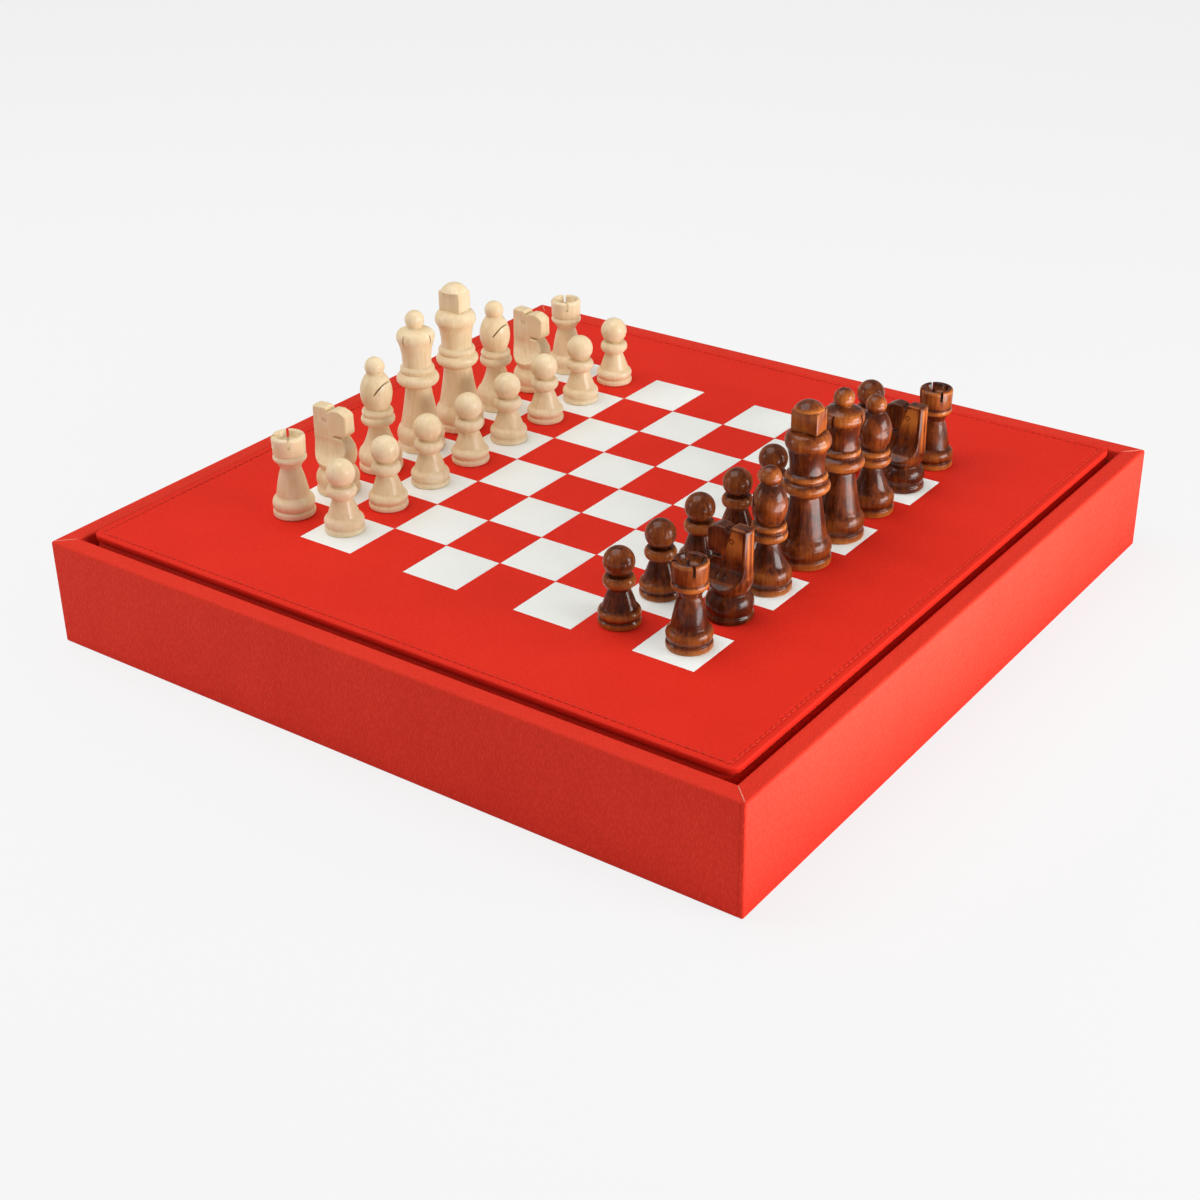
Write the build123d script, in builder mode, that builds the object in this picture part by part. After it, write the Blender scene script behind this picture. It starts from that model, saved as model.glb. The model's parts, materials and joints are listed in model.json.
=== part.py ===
"""Chess box: a leather covered tray whose lid is the chess board, with 32 turned chessmen.

Frame: +Z up, origin at the bottom centre of the box, millimetres. The light army stands
on the -X side and the dark army on the +X side, files run from -Y to +Y.
"""

import os

from build123d import *

# Board and box, driving dimensions
square = 33.0            # side of one square of the board
files = 8                # squares along each side of the board
box_side = 403.0         # outside of the leather, across the tray
rim_height = 56.6        # table to the top of the tray's rim
rim_width = 10.5         # top of one wall, leather included
leather = 0.9            # cover leather
suede = 0.8              # lining suede
rim_rounding = 1.4       # outer corners of the rim
base_thickness = 4.0     # base board
base_rebate = 4.0        # depth of the rebate that holds the base board
liner_thickness = 9.0    # liner boards that carry the lid, suede included
divider_thickness = 6.0  # divider between the two stores, suede included
divider_drop = 1.0       # divider's top below the lid

# Lid, driving dimensions
lid_gap = 3.5            # running gap between the lid's edge and the tray's wall
lid_proud = 2.6          # board surface above the rim
lid_corner = 6.0         # plan radius of the lid's corners
top_leather = 1.2        # stitched leather of the board
top_board = 2.0          # stiff board under the stitched leather
top_edge = 0.8           # rounding of the stitched panel's upper edge
groove_height = 1.2      # shadow groove between the panel and the lower band
groove_depth = 3.5       # groove's depth behind the panel's edge
band_height = 8.4        # padded lower board, leather included
band_inset = 0.5         # lower band behind the panel's edge
band_rounding = 3.0      # rounded edge of the lower band
band_turn_in = 14.0      # leather glued round onto the lower board
inlay = 0.6              # thickness of the white squares
inlay_margin = 0.15      # red hairline round each white square

# Chessmen, driving dimensions: radius of the foot and total height
pawn_foot, pawn_height = 10.0, 38.0
rook_foot, rook_height = 10.7, 42.8
knight_foot, knight_height = 11.2, 46.0
bishop_foot, bishop_height = 11.5, 61.6
queen_foot, queen_height = 12.7, 76.6
king_foot, king_height = 13.2, 82.0
groove_cut = 0.9         # depth of the turned groove above each foot

# Where each rank stands, in squares from the middle of the board
light_back_rank, light_pawn_rank = -3.62, -2.60
dark_pawn_rank, dark_back_rank = 2.42, 3.56
file_shift = 0.06        # all men stand a little to the back of their squares

# Levels and half widths worked out from the sizes above
box_half = box_side / 2
well_half = box_half - rim_width
lid_half = well_half - lid_gap
base_bottom = leather
base_top = base_bottom + base_thickness
floor_top = base_top + suede
lid_top = rim_height + lid_proud
panel_bottom = lid_top - top_leather - top_board
band_top = panel_bottom - groove_height
lid_seat = band_top - band_height
liner_half = well_half - liner_thickness

UP = Vector(0, 0, 1)
SIDES = {
    "front": Vector(0, -1, 0),
    "right": Vector(1, 0, 0),
    "back": Vector(0, 1, 0),
    "left": Vector(-1, 0, 0),
}

os.makedirs("parts", exist_ok=True)


def save(piece, name):
    """Label a finished piece and write it to its own file."""
    piece.label = name
    export_step(piece, f"parts/{name}.step")


# Sections of the walls: x is the distance from the middle of the box, y is the height


def upright(inner, outer, bottom, top, rounding=0.0):
    """Section of a standing board, with its two top corners rounded where asked."""
    with Locations(((inner + outer) / 2, (bottom + top) / 2)):
        Rectangle(outer - inner, top - bottom)
    if rounding:
        fillet(vertices().group_by(Axis.Y)[-1], rounding)


def mitred(outward, section):
    """Run a section along one side of the box and cut both ends at 45 degrees."""
    along = outward.cross(UP)
    with BuildPart() as board:
        with BuildSketch(Plane(origin=(0, 0, 0), x_dir=outward, z_dir=along)):
            section()
        extrude(amount=box_half, both=True)
        with BuildSketch(Plane.XY):
            with BuildLine():
                near = outward * box_side
                Polyline((0, 0), near + along * box_side, near - along * box_side, close=True)
            make_face()
        extrude(amount=box_side, mode=Mode.INTERSECT)
    return board.part


def wall_section():
    """Wall board, rebated at the bottom for the base board."""
    inner, outer = well_half + leather, box_half - leather
    upright(inner, outer, base_bottom, rim_height - leather, rim_rounding - leather / 2)
    with Locations((inner + base_rebate / 2, base_bottom + base_thickness / 2)):
        Rectangle(base_rebate, base_thickness, mode=Mode.SUBTRACT)


def wall_cover_section():
    """Leather wrapped over the wall: outer face, rim and inner face in one."""
    upright(well_half, box_half, 0, rim_height, rim_rounding)
    inner, outer = well_half + leather, box_half - leather
    with BuildSketch(mode=Mode.PRIVATE) as hollow:
        upright(inner, outer, -leather, rim_height - leather, rim_rounding - leather / 2)
    add(hollow.sketch, mode=Mode.SUBTRACT)
    with Locations((well_half + leather / 2, base_top / 2)):
        Rectangle(leather, base_top, mode=Mode.SUBTRACT)


def liner_section():
    """Board that stands on the floor inside the wall and carries the lid."""
    upright(liner_half + suede, well_half, floor_top, lid_seat - suede)


def liner_suede_section():
    """Suede over the top and the inner face of the liner board."""
    upright(liner_half, well_half, floor_top, lid_seat)
    with BuildSketch(mode=Mode.PRIVATE) as hollow:
        upright(liner_half + suede, well_half + suede, floor_top - suede, lid_seat - suede)
    add(hollow.sketch, mode=Mode.SUBTRACT)


def box_pieces():
    """Tray: base, walls, covers and linings."""
    with BuildPart() as base_cover:
        with BuildSketch():
            Rectangle(2 * (box_half - leather), 2 * (box_half - leather))
        extrude(amount=leather)
    save(base_cover.part, "base_cover")

    with BuildPart() as base_board:
        with BuildSketch(Plane.XY.offset(base_bottom)):
            board_side = 2 * (well_half + leather + base_rebate)
            Rectangle(board_side, board_side)
        extrude(amount=base_thickness)
    save(base_board.part, "base_board")

    with BuildPart() as floor_lining:
        with BuildSketch(Plane.XY.offset(base_top)):
            Rectangle(2 * well_half, 2 * well_half)
        extrude(amount=suede)
    save(floor_lining.part, "floor_lining")

    for side, outward in SIDES.items():
        save(mitred(outward, wall_section), f"wall_{side}")
        save(mitred(outward, wall_cover_section), f"wall_cover_{side}")
        save(mitred(outward, liner_section), f"liner_{side}")
        save(mitred(outward, liner_suede_section), f"liner_suede_{side}")


def divider_pieces():
    """Divider between the two stores, a suede covered board from front to back."""
    divider_half = divider_thickness / 2
    divider_top = lid_seat - divider_drop
    with BuildPart() as divider:
        with BuildSketch(Plane.XZ):
            upright(suede - divider_half, divider_half - suede, floor_top, divider_top - suede)
        extrude(amount=liner_half, both=True)
    save(divider.part, "divider")

    with BuildPart() as divider_suede:
        with BuildSketch(Plane.XZ):
            upright(-divider_half, divider_half, floor_top, divider_top)
            with Locations((0, (divider_top - suede) / 2)):
                Rectangle(divider_thickness - 2 * suede, divider_top - suede, mode=Mode.SUBTRACT)
        extrude(amount=liner_half, both=True)
    save(divider_suede.part, "divider_suede")


# Lid


def plate(half, corner, bottom, height):
    """Square plate with rounded corners, added to the part in hand."""
    with BuildSketch(Plane.XY.offset(bottom)) as outline:
        RectangleRounded(2 * half, 2 * half, corner)
    extrude(outline.sketch, amount=height)


def white_square_places():
    """Middle of each white square: rank and file from one to eight, sum odd."""
    places = []
    for rank in range(1, files + 1):
        for file in range(1, files + 1):
            if (rank + file) % 2:
                places.append(((rank - 4.5) * square, (file - 4.5) * square))
    return places


def lid_pieces():
    """Lid: padded lower board, spacer, stiff board and the stitched leather on top."""
    band_half = lid_half - band_inset
    core_rounding = band_rounding - leather
    with BuildPart() as lid_core:
        plate(band_half - leather, lid_corner - leather, lid_seat + leather, band_height - 2 * leather)
        fillet(lid_core.edges().filter_by(Plane.XY), core_rounding)
    save(lid_core.part, "lid_core")

    window_half = band_half - band_turn_in
    with BuildPart() as lid_band:
        plate(band_half, lid_corner, lid_seat, band_height)
        fillet(lid_band.edges().filter_by(Plane.XY), band_rounding)
        add(lid_core.part, mode=Mode.SUBTRACT)
        with BuildSketch(Plane.XY.offset(lid_seat)):
            Rectangle(2 * window_half, 2 * window_half)
        extrude(amount=band_height, mode=Mode.SUBTRACT)
    save(lid_band.part, "lid_band")

    with BuildPart() as lid_lining:
        with BuildSketch(Plane.XY.offset(lid_seat)):
            Rectangle(2 * window_half, 2 * window_half)
        extrude(amount=leather)
    save(lid_lining.part, "lid_lining")

    spacer_bottom = band_top - leather
    with BuildPart() as lid_spacer:
        with BuildSketch(Plane.XY.offset(spacer_bottom)):
            Rectangle(2 * window_half, 2 * window_half)
        extrude(amount=leather)
        plate(lid_half - groove_depth, lid_corner, band_top, groove_height)
    save(lid_spacer.part, "lid_spacer")

    with BuildPart() as lid_board:
        plate(lid_half - top_leather, lid_corner - top_leather, panel_bottom, top_board)
    save(lid_board.part, "lid_board")

    inlay_side = square - 2 * inlay_margin
    with BuildPart() as lid_leather:
        plate(lid_half, lid_corner, panel_bottom, top_board + top_leather)
        fillet(lid_leather.edges().filter_by(Plane.XY).group_by(Axis.Z)[-1], top_edge)
        add(lid_board.part, mode=Mode.SUBTRACT)
        with BuildSketch(Plane.XY.offset(lid_top - inlay)):
            with Locations(white_square_places()):
                Rectangle(inlay_side, inlay_side)
        extrude(amount=inlay, mode=Mode.SUBTRACT)
    save(lid_leather.part, "lid_leather")

    with BuildPart() as lid_squares:
        with BuildSketch(Plane.XY.offset(lid_top - inlay)):
            with Locations(white_square_places()):
                Rectangle(inlay_side, inlay_side)
        extrude(amount=inlay)
    save(lid_squares.part, "lid_squares")


# Chessmen, each turned about the Z axis and standing on z = 0. Points are (radius, height)


def foot_line(foot, disc, bulb_top, ledge, waist, neck):
    """Outline of disc, groove, bulb, ledge and waist, from the axis up to the neck."""
    groove = (foot - groove_cut, disc + groove_cut)
    bulb_middle = (foot, groove[1] + 0.4 * (bulb_top[1] - groove[1]))
    Polyline((0, 0), (foot, 0), (foot, disc), groove)
    ThreePointArc(groove, bulb_middle, bulb_top)
    Line(bulb_top, ledge)
    ThreePointArc(ledge, waist, neck)
    return neck


def ring_line(start, bottom, widest, top):
    """Outline of one turned ring above start, with a rounded edge."""
    Line(start, bottom)
    ThreePointArc(bottom, widest, top)
    return top


def ball_line(start, ball, top):
    """Outline of a ball from start to the axis, closed down the axis."""
    centre = top - ball
    drop = min(0.84, (centre - start[1] - 0.2) / ball)
    entry = (ball * (1 - drop**2) ** 0.5, centre - ball * drop)
    Line(start, entry)
    ThreePointArc(entry, (ball, centre), (0, top))
    Line((0, top), (0, 0))


def dome_line(start, top):
    """Outline of a shallow dome from start to the axis, closed down the axis."""
    rise = top - start[1]
    radius = (start[0] ** 2 + rise**2) / (2 * rise)
    half_way = start[0] / 2
    drop = radius - (radius**2 - half_way**2) ** 0.5
    ThreePointArc(start, (half_way, top - drop), (0, top))
    Line((0, top), (0, 0))


def make_pawn():
    """Small man: foot, waist, one collar and a round head."""
    head = 7.3
    with BuildPart() as pawn:
        with BuildSketch(Plane.XZ):
            with BuildLine():
                neck = foot_line(pawn_foot, 2.4, (8.7, 8.0), (8.0, 8.7), (6.5, 13.2), (4.9, 17.4))
                collar = ring_line(neck, (6.8, 19.4), (7.6, 21.8), (6.2, 24.2))
                ball_line(collar, head, pawn_height)
            make_face()
        revolve()
    return pawn.part


def make_rook():
    """Tower: turned drum with a cup in its top and four saw slots across the rim."""
    drum, cup, cup_depth = 8.5, 5.8, 4.6
    saw_width, saw_depth = 1.3, 5.0
    with BuildPart() as rook:
        with BuildSketch(Plane.XZ):
            with BuildLine():
                neck = foot_line(rook_foot, 2.8, (9.4, 9.6), (8.4, 10.6), (7.2, 17.6), (5.1, 25.4))
                collar = ring_line(neck, (7.0, 29.0), (8.5, 31.0), (7.6, 32.8))
                rim = rook_height - 1.0
                Polyline(collar, (drum - 0.3, 33.4), (drum, rim))
                ThreePointArc((drum, rim), (drum - 0.4, rim + 0.7), (drum - 1.2, rook_height))
                Polyline(
                    (drum - 1.2, rook_height),
                    (cup, rook_height),
                    (cup - 1.4, rook_height - cup_depth),
                    (0, rook_height - cup_depth),
                    (0, 0),
                )
            make_face()
        revolve()
        with Locations((0, 0, rook_height)):
            for turn in (45, 135):
                Box(
                    3 * drum,
                    saw_width,
                    2 * saw_depth,
                    rotation=(0, 0, turn),
                    mode=Mode.SUBTRACT,
                )
    return rook.part


def make_bishop():
    """Slim man: two collars, a mitre with one saw cut towards the front, and a button."""
    button = 5.2
    cut_length, cut_width, cut_slope = 9.0, 0.8, 60
    with BuildPart() as bishop:
        with BuildSketch(Plane.XZ):
            with BuildLine():
                neck = foot_line(bishop_foot, 3.0, (9.6, 12.0), (8.9, 12.9), (6.6, 18.2), (5.0, 24.2))
                lower = ring_line(neck, (7.4, 25.4), (8.9, 27.8), (7.8, 30.2))
                upper = ring_line(lower, (7.8, 30.4), (8.2, 31.6), (5.9, 34.0))
                mitre_top = (4.3, bishop_height - 8.4)
                ThreePointArc(upper, (8.4, 42.6), mitre_top)
                ball_line(mitre_top, button, bishop_height)
            make_face()
        revolve()
        with BuildSketch(Plane.XZ):
            with Locations(Location((6.0, bishop_height - 14.2), cut_slope)):
                Rectangle(cut_length, cut_width)
        extrude(amount=bishop_foot, both=True, mode=Mode.SUBTRACT)
    return bishop.part


def make_queen():
    """Tall man: two collars, a flared coronet, a low dome and a small ball."""
    ball = 5.1
    with BuildPart() as queen:
        with BuildSketch(Plane.XZ):
            with BuildLine():
                neck = foot_line(queen_foot, 3.2, (11.0, 12.8), (10.4, 13.8), (8.6, 23.0), (6.7, 34.6))
                lower = ring_line(neck, (9.6, 36.4), (11.3, 39.2), (9.4, 42.4))
                upper = ring_line(lower, (8.6, 43.0), (9.2, 44.8), (7.7, 46.8))
                coronet = (9.2, queen_height - 17.4)
                ThreePointArc(upper, (7.9, 53.0), coronet)
                rim_bottom, rim_edge = (9.6, coronet[1] + 0.8), (10.2, coronet[1] + 3.4)
                crown = ring_line(coronet, rim_bottom, rim_edge, (8.8, coronet[1] + 6.4))
                dome = (3.8, queen_height - 8.8)
                ThreePointArc(crown, (5.8, crown[1] + 1.4), dome)
                ball_line(dome, ball, queen_height)
            make_face()
        revolve()
    return queen.part


def make_king():
    """Tallest man: two collars, a shoulder ring and a squared block under a domed cap."""
    block_long, block_wide, block_bottom = 13.8, 10.2, 67.0
    cap = (7.2, king_height - 4.2)
    core = 5.0
    with BuildPart() as king:
        with BuildSketch(Plane.XZ):
            with BuildLine():
                neck = foot_line(king_foot, 3.4, (11.4, 13.4), (10.8, 14.4), (9.0, 24.0), (7.4, 35.0))
                lower = ring_line(neck, (9.8, 36.8), (11.4, 39.6), (9.8, 42.4))
                upper = ring_line(lower, (9.4, 42.8), (10.0, 44.4), (8.3, 46.8))
                stem = (9.6, 58.4)
                ThreePointArc(upper, (8.5, 53.0), stem)
                shoulder = ring_line(stem, (10.2, 59.4), (11.0, 62.2), (8.4, 66.8))
                Polyline(shoulder, (core, block_bottom + 0.4), (core, cap[1]), cap)
                dome_line(cap, king_height)
            make_face()
        revolve()
        with BuildSketch(Plane.XY.offset(block_bottom)):
            Rectangle(block_long, block_wide)
            fillet(vertices(), 1.2)
        extrude(amount=cap[1] - block_bottom)
    return king.part


def make_knight():
    """Knight: a turned blank whose cheeks are sawn off and whose front is cut to a head."""
    blank, blank_bottom = 10.8, 21.0
    disc = 2.8
    waist = (8.3, 13.2)
    head_half, crown_half, chest_bottom = 4.2, 3.5, 15.6
    mouth_height = 31.2
    eye, eye_depth, eye_plane = 1.4, 0.5, 3.8
    over = knight_height + 1
    with BuildPart() as knight:
        with BuildSketch(Plane.XZ):
            with BuildLine():
                groove = (knight_foot - groove_cut, disc + groove_cut)
                Polyline((0, 0), (knight_foot, 0), (knight_foot, disc), groove)
                ThreePointArc(groove, (knight_foot, 7.2), waist)
                ThreePointArc(waist, (10.1, 16.8), (blank, blank_bottom))
                Polyline((blank, blank_bottom), (blank, knight_height), (0, knight_height), (0, 0))
            make_face()
        revolve()
        # Both cheeks are sawn off the round blank, thin at the crown and wide at the chest
        with BuildSketch(Plane.YZ):
            with BuildLine():
                start, bend, chest = (crown_half, over), (head_half, 30.0), (blank + 1, chest_bottom)
                Line(start, bend)
                ThreePointArc(bend, (6.2, blank_bottom), chest)
                Polyline(chest, (blank + 1, over), start)
            make_face()
            mirror(about=Plane.YZ)
        extrude(amount=2 * blank, both=True, mode=Mode.SUBTRACT)
        # Front of the head: forehead, nose, mouth and the start of the chest
        with BuildSketch(Plane.XZ):
            with BuildLine():
                Polyline(
                    (-2.6, over),
                    (-0.9, 43.2),
                    (1.4, 44.4),
                    (9.6, 41.0),
                    (blank + 0.2, 39.6),
                    (blank + 0.2, 34.4),
                    (8.6, mouth_height + 0.4),
                    (2.4, mouth_height + 0.4),
                    (2.4, mouth_height - 0.4),
                    (6.4, mouth_height - 0.8),
                )
                chest = (blank + 0.2, blank_bottom)
                ThreePointArc((6.4, mouth_height - 0.8), (9.4, 26.6), chest)
                Polyline(chest, (blank + 2, blank_bottom), (blank + 2, over), (-2.6, over))
            make_face()
        extrude(amount=blank, both=True, mode=Mode.SUBTRACT)
        # Punched eyes
        for side in (-1, 1):
            with BuildSketch(Plane.XZ.offset(side * (eye_plane - eye_depth))):
                with Locations((-2.6, 39.0)):
                    Circle(eye)
                    Circle(eye / 2, mode=Mode.SUBTRACT)
            extrude(amount=side * 2, mode=Mode.SUBTRACT)
    return knight.part


BACK_RANK = {
    "light": ["rook", "knight", "bishop", "queen", "king", "bishop", "knight", "rook"],
    "dark": ["rook", "knight", "bishop", "king", "queen", "bishop", "knight", "rook"],
}


def stand(man, name, rank, file, turn):
    """Stand a copy of one man on the board and save it."""
    with BuildPart() as piece:
        place = (rank * square, (file - 4.5 + file_shift) * square, lid_top)
        with Locations(Location(place, (0, 0, turn))):
            add(man)
    save(piece.part, name)


def chessmen():
    """Both armies, set out for the start of a game."""
    men = {
        "pawn": make_pawn(),
        "rook": make_rook(),
        "knight": make_knight(),
        "bishop": make_bishop(),
        "queen": make_queen(),
        "king": make_king(),
    }
    ranks = {"light": (light_back_rank, light_pawn_rank, 0), "dark": (dark_back_rank, dark_pawn_rank, 180)}
    for army, (back_rank, pawn_rank, turn) in ranks.items():
        for file, kind in enumerate(BACK_RANK[army], start=1):
            single = kind in ("king", "queen")
            name = f"{army}_{kind}" if single else f"{army}_{kind}_{file}"
            stand(men[kind], name, back_rank, file, turn)
            stand(men["pawn"], f"{army}_pawn_{file}", pawn_rank, file, turn)


box_pieces()
divider_pieces()
lid_pieces()
chessmen()
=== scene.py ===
# %% [markdown]
# A leather chess box with its men set out for a game. The box, the lid and every man come
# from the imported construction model, which gives each piece its size and its place. This
# lesson builds the surfaces that the eye sees: pebbled leather turned round the edges,
# saddle stitches, inlaid squares, and turned wood in a pale and a stained finish.

# %% Load the construction model
import json
import math

import bmesh
import bpy
import numpy as np
from mathutils import Matrix, Vector

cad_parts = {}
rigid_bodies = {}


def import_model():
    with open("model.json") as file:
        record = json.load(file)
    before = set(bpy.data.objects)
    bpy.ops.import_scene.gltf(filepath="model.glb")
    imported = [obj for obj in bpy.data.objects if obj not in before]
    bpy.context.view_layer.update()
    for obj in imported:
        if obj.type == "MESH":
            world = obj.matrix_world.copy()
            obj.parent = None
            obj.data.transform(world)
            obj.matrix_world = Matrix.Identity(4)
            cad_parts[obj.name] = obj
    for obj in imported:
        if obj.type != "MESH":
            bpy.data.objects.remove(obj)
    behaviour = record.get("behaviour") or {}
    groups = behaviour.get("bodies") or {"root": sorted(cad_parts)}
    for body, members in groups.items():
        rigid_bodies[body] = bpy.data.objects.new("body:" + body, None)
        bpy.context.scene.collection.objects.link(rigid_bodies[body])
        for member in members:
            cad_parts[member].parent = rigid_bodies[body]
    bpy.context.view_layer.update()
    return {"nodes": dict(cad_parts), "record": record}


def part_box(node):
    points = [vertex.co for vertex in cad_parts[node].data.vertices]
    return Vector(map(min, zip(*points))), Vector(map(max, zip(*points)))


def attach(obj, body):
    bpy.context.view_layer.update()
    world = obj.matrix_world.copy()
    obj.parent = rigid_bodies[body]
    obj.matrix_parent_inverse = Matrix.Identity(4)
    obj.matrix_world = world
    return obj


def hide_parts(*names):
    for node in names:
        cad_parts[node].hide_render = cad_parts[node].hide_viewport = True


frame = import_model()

# %% [markdown]
# Everything below is in metres. Real sizes of leather, thread and wood are easier to read in
# millimetres, so one value turns them over. The board's own sizes are read from the model.

# %% Sizes of the box and the board
MM = 0.001
square = 33.0 * MM
board_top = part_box("lid_leather")[1].z
lid_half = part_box("lid_leather")[1].x
lid_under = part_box("lid_leather")[0].z
box_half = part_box("wall_cover_right")[1].x
well_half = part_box("wall_cover_right")[0].x
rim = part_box("wall_cover_front")[1].z
leather = 0.9 * MM
print("box", round(2 * box_half, 4), "rim", round(rim, 4), "board", round(board_top, 4))

# %% [markdown]
# The photograph was taken from the front right corner, a little above the box. The place of
# the camera was found from the corners of the squares, so it is written in squares from the
# middle of the board. Built first, the camera lets each later cell be looked at as it comes.

# %% Camera
camera_place = Vector((16.109, -22.786, 13.285)) * square + Vector((0, 0, board_top))
camera_azimuth = math.radians(35.92)
camera_drop = math.radians(28.65)
camera_roll = math.radians(-0.82)
sensor, focal = 36.0, 59.59

camera_data = bpy.data.cameras.new("camera")
camera_data.sensor_width = sensor
camera_data.lens = focal
camera_data.clip_start, camera_data.clip_end = 0.01, 50
camera = bpy.data.objects.new("camera", camera_data)
bpy.context.scene.collection.objects.link(camera)
facing = Matrix.Rotation(camera_azimuth, 4, "Z") @ Matrix.Rotation(math.pi / 2 - camera_drop, 4, "X")
camera.matrix_world = Matrix.Translation(camera_place) @ facing @ Matrix.Rotation(camera_roll, 4, "Z")
bpy.context.scene.camera = camera

# %% [markdown]
# The lamps stand as in a product studio: a low soft box on the right, a wide one overhead, a
# small weak one on the left, and a white card on the table at the right. The card throws
# light up onto the right wall alone, so this wall is the brightest face, the board is lit
# evenly and the front wall falls into half shade. Two soft streaks show in each man's
# lacquer. The floor is a pale sheet, and most of what the camera sees of it is a plain
# glow, which leaves only a weak shadow.

# %% Light and floor
def linear(code):
    """Linear colour of an sRGB hex code."""
    channels = [int(code[i : i + 2], 16) / 255 for i in (1, 3, 5)]
    return [c / 12.92 if c <= 0.04045 else ((c + 0.055) / 1.055) ** 2.4 for c in channels] + [1.0]


def node(tree, kind, links=(), **settings):
    """Add one node with its settings and (input, value) links; a node means its first output."""
    made = tree.nodes.new(kind)
    for name, value in settings.items():
        if hasattr(made, name):
            setattr(made, name, value)
    for key, value in links:
        if isinstance(value, bpy.types.Node):
            value = value.outputs[0]
        if isinstance(value, bpy.types.NodeSocket):
            tree.links.new(value, made.inputs[key])
        else:
            made.inputs[key].default_value = value
    return made


def worked_out(tree, operation, *values, **settings):
    """Output of a Math node on numbers or sockets."""
    return node(tree, "ShaderNodeMath", enumerate(values), operation=operation, **settings).outputs[0]


def mapped(tree, value, *ends, **settings):
    """Output of a Map Range node; ends are pairs of socket name and number."""
    return node(tree, "ShaderNodeMapRange", [("Value", value), *ends], **settings).outputs[0]


def noise(tree, place, size, detail, *more, output="Fac"):
    """Output of a Noise Texture with waves about one size long, in metres."""
    links = [("Vector", place), ("Scale", 1 / size), ("Detail", detail), *more]
    return node(tree, "ShaderNodeTexNoise", links).outputs[output]


def surface_from(tree, colour, roughness, height, depth, *more):
    """Principled surface, with a bump so many metres deep, that is the tree's result."""
    bump = node(tree, "ShaderNodeBump", [("Height", height), ("Distance", depth)])
    links = [("Base Color", colour), ("Roughness", roughness), ("Normal", bump), *more]
    surface = node(tree, "ShaderNodeBsdfPrincipled", links)
    node(tree, "ShaderNodeOutputMaterial", [("Surface", surface)])


def fresh_material(name):
    """New material and its empty node tree."""
    material = bpy.data.materials.new(name)
    material.use_nodes = True
    material.node_tree.nodes.clear()
    return material, material.node_tree


def soft_box(name, place, target, size, power):
    """Area lamp in metres and watts that looks from its place to a target."""
    data = bpy.data.lights.new(name, "AREA")
    data.shape = "RECTANGLE"
    data.size, data.size_y = size
    data.energy = power
    lamp = bpy.data.objects.new(name, data)
    direction = Vector(target) - Vector(place)
    facing = direction.to_track_quat("-Z", "Y").to_matrix().to_4x4()
    lamp.matrix_world = Matrix.Translation(place) @ facing
    bpy.context.scene.collection.objects.link(lamp)
    return lamp


middle = (0, 0, 0.05)
soft_box("key_soft_box", (1.3, 0.2, 0.3), middle, (0.9, 0.45), 17)
soft_box("top_soft_box", (-0.45, -0.2, 1.5), middle, (1.3, 1.3), 15.5)
soft_box("left_soft_box", (-0.7, -0.62, 0.38), middle, (0.28, 0.36), 1.1)
card_place, card_size = (0.68, 0, 0.002), (0.76, 0.4)
card = soft_box("table_card", card_place, (0.68, 0, 1), card_size, 9.0)
card.visible_camera = False

world = bpy.data.worlds.new("studio_walls")
bpy.context.scene.world = world
world.use_nodes = True
sky = world.node_tree.nodes["Background"]
sky.inputs["Color"].default_value = linear("#F6F6F6")
wall_light, wall_seen = 0.33, 0.93
seen = node(world.node_tree, "ShaderNodeLightPath").outputs["Is Camera Ray"]
level = mapped(world.node_tree, seen, ("To Min", wall_light), ("To Max", wall_seen))
world.node_tree.links.new(level, sky.inputs["Strength"])

floor_mesh = bpy.data.meshes.new("floor")
floor_half = 12.0
floor_corners = [(x * floor_half, y * floor_half, 0) for x, y in ((-1, -1), (1, -1), (1, 1), (-1, 1))]
floor_mesh.from_pydata(floor_corners, [], [(0, 1, 2, 3)])
floor = bpy.data.objects.new("floor", floor_mesh)
bpy.context.scene.collection.objects.link(floor)
paper, tree = fresh_material("studio_paper")
lit = node(tree, "ShaderNodeBsdfDiffuse", [("Color", linear("#F2F2F2"))])
glow = node(tree, "ShaderNodeEmission", [("Color", linear("#F7F7F7")), ("Strength", 1.0)])
seen = node(tree, "ShaderNodeLightPath").outputs["Is Camera Ray"]
glow_share = 0.88
share = worked_out(tree, "MULTIPLY", seen, glow_share)
mixed = node(tree, "ShaderNodeMixShader", [(0, share), (1, lit), (2, glow)])
node(tree, "ShaderNodeOutputMaterial", [("Surface", mixed)])
floor_mesh.materials.append(paper)
bpy.context.scene.view_settings.view_transform = "Standard"

# %% [markdown]
# Each finished piece is one closed mesh at the origin that rides on a body of the model and
# stands for the model's plain piece. One function does the finishing for all of them:
# doubles merged, faces turned outwards, smooth shading with sharp edges kept by angle. The
# short functions after it make meshes from points, and the arc through three points.

# %% Finish a piece
scene_objects = bpy.context.scene.collection.objects


def finish_piece(name, mesh, material, body, slot, *nodes, angle):
    """Turn a mesh into a named piece of the object, with edges sharp above an angle."""
    cleaned = bmesh.new()
    cleaned.from_mesh(mesh)
    bmesh.ops.remove_doubles(cleaned, verts=cleaned.verts, dist=0.002 * MM)
    bmesh.ops.dissolve_degenerate(cleaned, edges=cleaned.edges, dist=0.001 * MM)
    bmesh.ops.recalc_face_normals(cleaned, faces=cleaned.faces)
    cleaned.to_mesh(mesh)
    cleaned.free()
    mesh.materials.clear()
    mesh.materials.append(material)
    mesh.polygons.foreach_set("use_smooth", [True] * len(mesh.polygons))
    mesh.set_sharp_from_angle(angle=math.radians(angle))
    piece = bpy.data.objects.new(name, mesh)
    scene_objects.link(piece)
    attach(piece, body)
    if nodes:
        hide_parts(*nodes)
    return piece


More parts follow.
